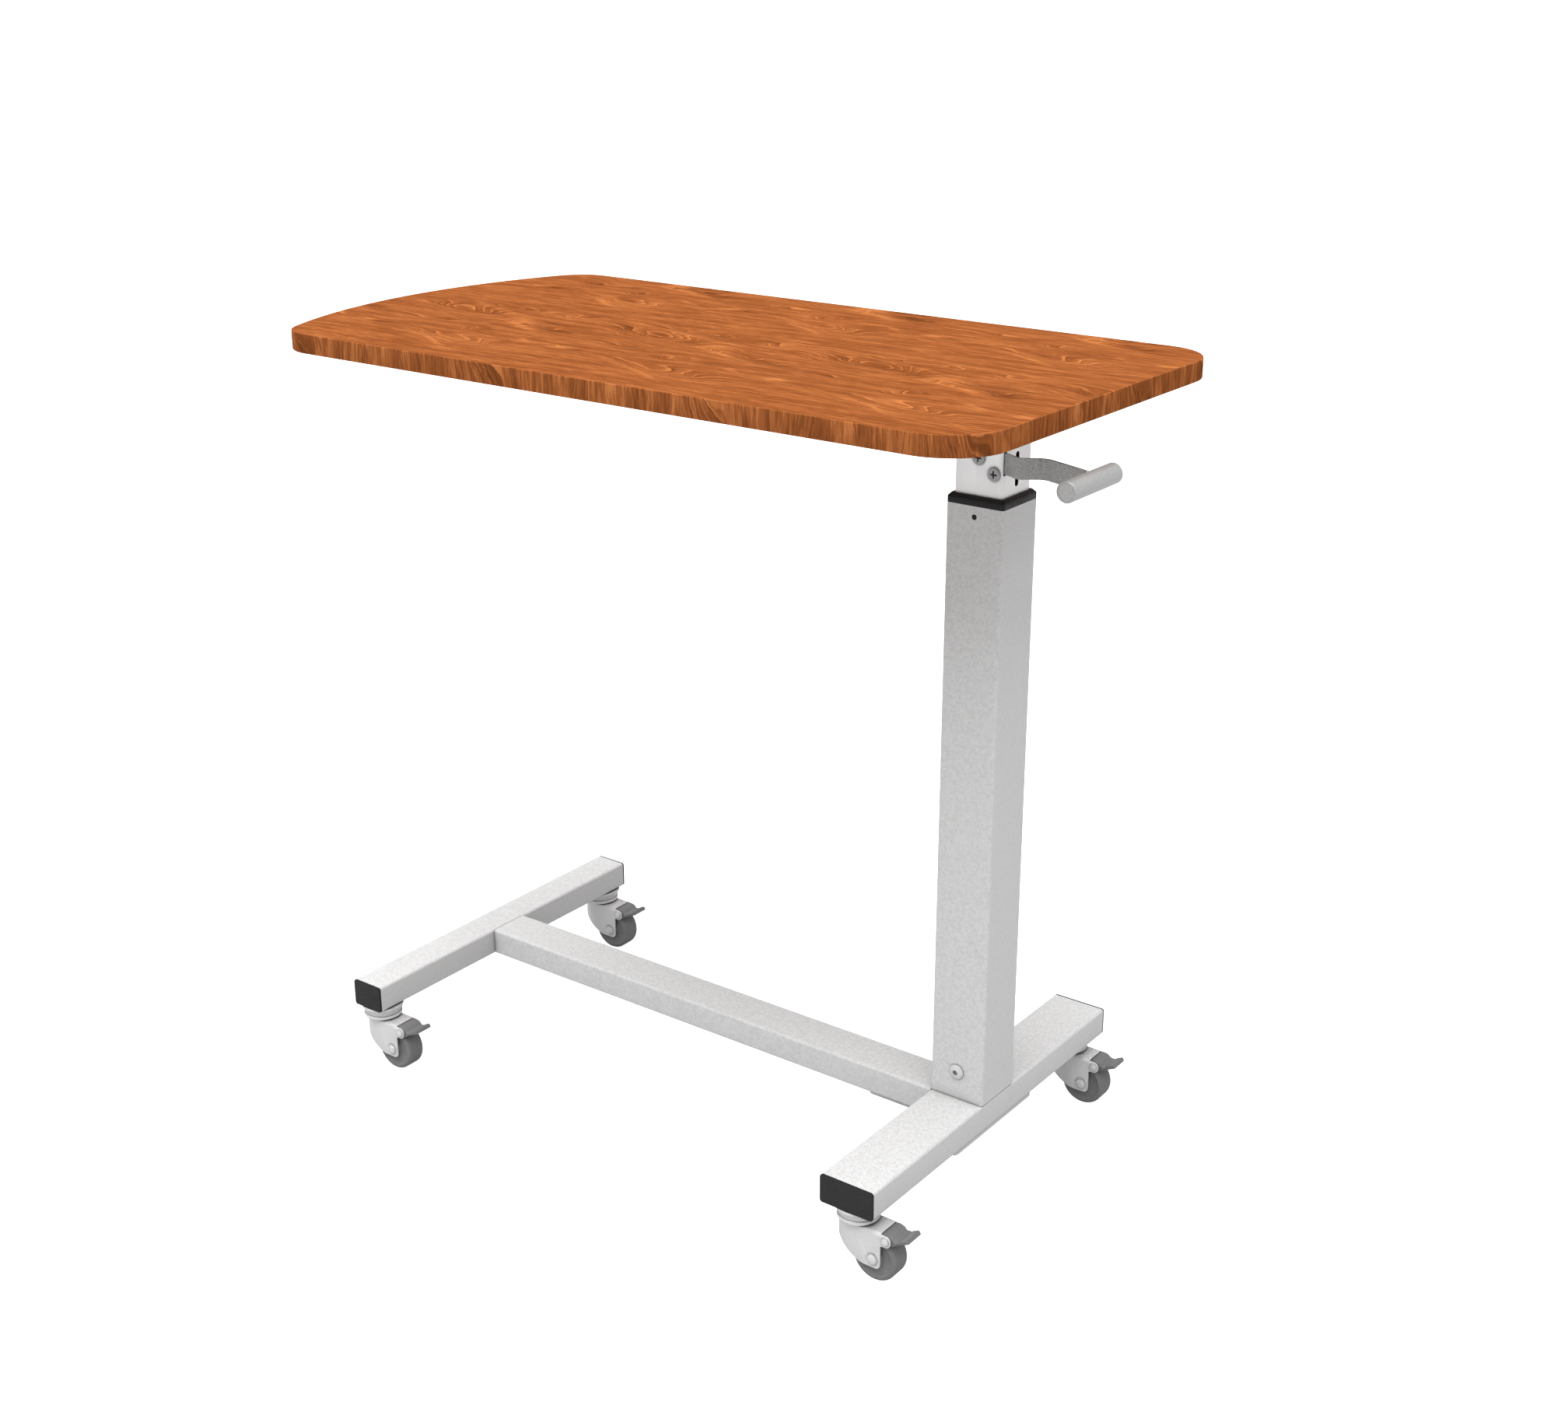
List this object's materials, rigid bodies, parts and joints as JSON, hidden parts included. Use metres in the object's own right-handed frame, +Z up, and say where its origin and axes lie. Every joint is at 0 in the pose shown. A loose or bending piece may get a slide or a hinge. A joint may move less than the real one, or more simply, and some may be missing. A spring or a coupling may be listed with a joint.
{
  "type": "overbed table",
  "caption": "Hospital overbed table: bowed wooden top on a gas-sprung square column at one end of a wheeled H-shaped base, with a release lever and braked swivel casters.",
  "frame": {"origin": "on the floor, below the middle of the whole object's box at its lowest height", "axes": "+X from the free end of the base to the column end, +Y across the depth away from the lever's grip side, +Z up"},
  "size_m": [0.8644, 0.45, 0.819],
  "materials": {
    "powder_coated_steel": "fine textured white powder coat",
    "cap_plastic": "moulded dark grey",
    "black_plastic": "moulded black",
    "laminate_top": "satin wood-grain laminate",
    "laminate_edge": "satin wood-grain edge band",
    "bare_steel": "mill",
    "grip_metal": "blasted",
    "zinc_plate": "zinc plated",
    "fork_steel": "pressed and zinc plated",
    "grey_rubber": "matt grey tread",
    "pedal_plastic": "moulded grey"
  },
  "bodies": {
    "base": {"column_foot_bar": "powder_coated_steel", "column_foot_bar_cap_near": "cap_plastic", "column_foot_bar_cap_far": "cap_plastic", "free_foot_bar": "powder_coated_steel", "free_foot_bar_cap_near": "cap_plastic", "free_foot_bar_cap_far": "cap_plastic", "base_rail": "powder_coated_steel", "base_plate": "powder_coated_steel", "column_tube": "powder_coated_steel", "column_collar": "black_plastic", "collar_pin": "black_plastic", "column_base_bolt_near": "zinc_plate", "column_base_bolt_far": "zinc_plate", "anchor_post": "bare_steel", "gas_spring_cylinder": "black_plastic", "caster_column_near_stem_race": "zinc_plate", "caster_column_far_stem_race": "zinc_plate", "caster_free_near_stem_race": "zinc_plate", "caster_free_far_stem_race": "zinc_plate"},
    "lift": {"inner_tube": "powder_coated_steel", "inner_tube_glide": "black_plastic", "head_plate": "powder_coated_steel", "support_arm_near": "powder_coated_steel", "support_arm_far": "powder_coated_steel", "tabletop": "laminate_top", "tabletop_edge_band": "laminate_edge", "tabletop_screw_1": "zinc_plate", "tabletop_screw_2": "zinc_plate", "tabletop_screw_3": "zinc_plate", "tabletop_screw_4": "zinc_plate", "gas_spring_rod": "zinc_plate", "release_head": "bare_steel", "release_head_bolt": "zinc_plate", "release_head_nut": "zinc_plate", "lever_pivot_bolt": "zinc_plate", "lever_pivot_nut": "zinc_plate"},
    "lever": {"lever_strip": "bare_steel", "lever_grip": "grip_metal"},
    "release_pin": {"release_pin": "zinc_plate"},
    "caster_column_near_swivel": {"caster_column_near_fork": "fork_steel", "caster_column_near_axle": "zinc_plate", "caster_column_near_pedal_pin": "zinc_plate"},
    "caster_column_near_wheel": {"caster_column_near_wheel": "grey_rubber"},
    "caster_column_near_pedal": {"caster_column_near_pedal": "pedal_plastic"},
    "caster_column_far_swivel": {"caster_column_far_fork": "fork_steel", "caster_column_far_axle": "zinc_plate", "caster_column_far_pedal_pin": "zinc_plate"},
    "caster_column_far_wheel": {"caster_column_far_wheel": "grey_rubber"},
    "caster_column_far_pedal": {"caster_column_far_pedal": "pedal_plastic"},
    "caster_free_near_swivel": {"caster_free_near_fork": "fork_steel", "caster_free_near_axle": "zinc_plate", "caster_free_near_pedal_pin": "zinc_plate"},
    "caster_free_near_wheel": {"caster_free_near_wheel": "grey_rubber"},
    "caster_free_near_pedal": {"caster_free_near_pedal": "pedal_plastic"},
    "caster_free_far_swivel": {"caster_free_far_fork": "fork_steel", "caster_free_far_axle": "zinc_plate", "caster_free_far_pedal_pin": "zinc_plate"},
    "caster_free_far_wheel": {"caster_free_far_wheel": "grey_rubber"},
    "caster_free_far_pedal": {"caster_free_far_pedal": "pedal_plastic"}
  },
  "joints": [
    {"name": "column_lift", "type": "slide", "parent": "base", "child": "lift", "axis": [0, 0, 1], "range_m": [0, 0.3]},
    {"name": "lever_release", "type": "hinge", "parent": "lift", "child": "lever", "pos_m": [0.32135, 0, 0.738], "axis": [0, -1, 0], "range_deg": [0, 8]},
    {"name": "release_pin_press", "type": "slide", "parent": "lift", "child": "release_pin", "axis": [0, 0, -1], "range_m": [0, 0.0025]},
    {"name": "caster_column_near_swivel_turn", "type": "hinge", "parent": "base", "child": "caster_column_near_swivel", "pos_m": [0.30485, -0.199, 0.06], "axis": [0, 0, 1], "continuous": true},
    {"name": "caster_column_near_wheel_spin", "type": "hinge", "parent": "caster_column_near_swivel", "child": "caster_column_near_wheel", "pos_m": [0.32985, -0.199, 0.0245], "axis": [0, 1, 0], "continuous": true},
    {"name": "caster_column_near_brake_press", "type": "hinge", "parent": "caster_column_near_swivel", "child": "caster_column_near_pedal", "pos_m": [0.34385, -0.199, 0.0488], "axis": [0, 1, 0], "range_deg": [0, 13.5]},
    {"name": "caster_column_far_swivel_turn", "type": "hinge", "parent": "base", "child": "caster_column_far_swivel", "pos_m": [0.30485, 0.199, 0.06], "axis": [0, 0, 1], "continuous": true},
    {"name": "caster_column_far_wheel_spin", "type": "hinge", "parent": "caster_column_far_swivel", "child": "caster_column_far_wheel", "pos_m": [0.32985, 0.199, 0.0245], "axis": [0, 1, 0], "continuous": true},
    {"name": "caster_column_far_brake_press", "type": "hinge", "parent": "caster_column_far_swivel", "child": "caster_column_far_pedal", "pos_m": [0.34385, 0.199, 0.0488], "axis": [0, 1, 0], "range_deg": [0, 13.5]},
    {"name": "caster_free_near_swivel_turn", "type": "hinge", "parent": "base", "child": "caster_free_near_swivel", "pos_m": [-0.34615, -0.189, 0.06], "axis": [0, 0, 1], "continuous": true},
    {"name": "caster_free_near_wheel_spin", "type": "hinge", "parent": "caster_free_near_swivel", "child": "caster_free_near_wheel", "pos_m": [-0.32115, -0.189, 0.0245], "axis": [0, 1, 0], "continuous": true},
    {"name": "caster_free_near_brake_press", "type": "hinge", "parent": "caster_free_near_swivel", "child": "caster_free_near_pedal", "pos_m": [-0.30715, -0.189, 0.0488], "axis": [0, 1, 0], "range_deg": [0, 13.5]},
    {"name": "caster_free_far_swivel_turn", "type": "hinge", "parent": "base", "child": "caster_free_far_swivel", "pos_m": [-0.34615, 0.179, 0.06], "axis": [0, 0, 1], "continuous": true},
    {"name": "caster_free_far_wheel_spin", "type": "hinge", "parent": "caster_free_far_swivel", "child": "caster_free_far_wheel", "pos_m": [-0.32115, 0.179, 0.0245], "axis": [0, 1, 0], "continuous": true},
    {"name": "caster_free_far_brake_press", "type": "hinge", "parent": "caster_free_far_swivel", "child": "caster_free_far_pedal", "pos_m": [-0.30715, 0.179, 0.0488], "axis": [0, 1, 0], "range_deg": [0, 13.5]}
  ],
  "couplings": [
    {"joint": "release_pin_press", "follows": "lever_release", "m_per_rad": 0.0165}
  ]
}
